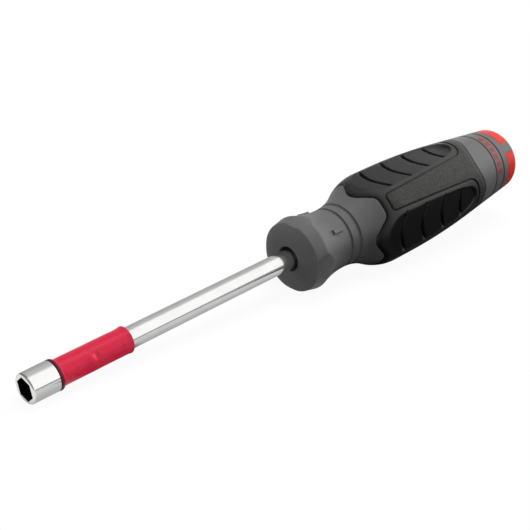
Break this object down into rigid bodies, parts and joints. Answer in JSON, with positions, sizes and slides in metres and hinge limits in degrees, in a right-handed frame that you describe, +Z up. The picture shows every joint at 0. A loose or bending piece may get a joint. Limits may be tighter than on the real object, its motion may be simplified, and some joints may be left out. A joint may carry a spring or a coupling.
{
  "type": "nut driver",
  "caption": "Hand nut driver: chromed hollow shank with a hex socket and a red colour sleeve, in a waisted moulded handle with a soft grip that has four grooved finger recesses.",
  "frame": {"origin": "centre of the socket's front face, on the tool's axis", "axes": "+X along the tool from the socket to the butt, +Z up as the tool lies with its bolster flats level"},
  "size_m": [0.2146, 0.0306, 0.0306],
  "materials": {
    "chrome_socket": "polished chrome plate",
    "chrome_shank": "satin chrome plate",
    "sleeve_vinyl": "satin vinyl",
    "core_plastic": "satin",
    "shell_plastic": "fine matt moulded",
    "grip_rubber": "matt elastomer, textured panels"
  },
  "bodies": {
    "root": {"drive_socket": "chrome_socket", "shank": "chrome_shank", "colour_sleeve": "sleeve_vinyl", "handle_core": "core_plastic", "handle_shell": "shell_plastic", "soft_grip": "grip_rubber"}
  },
  "joints": []
}
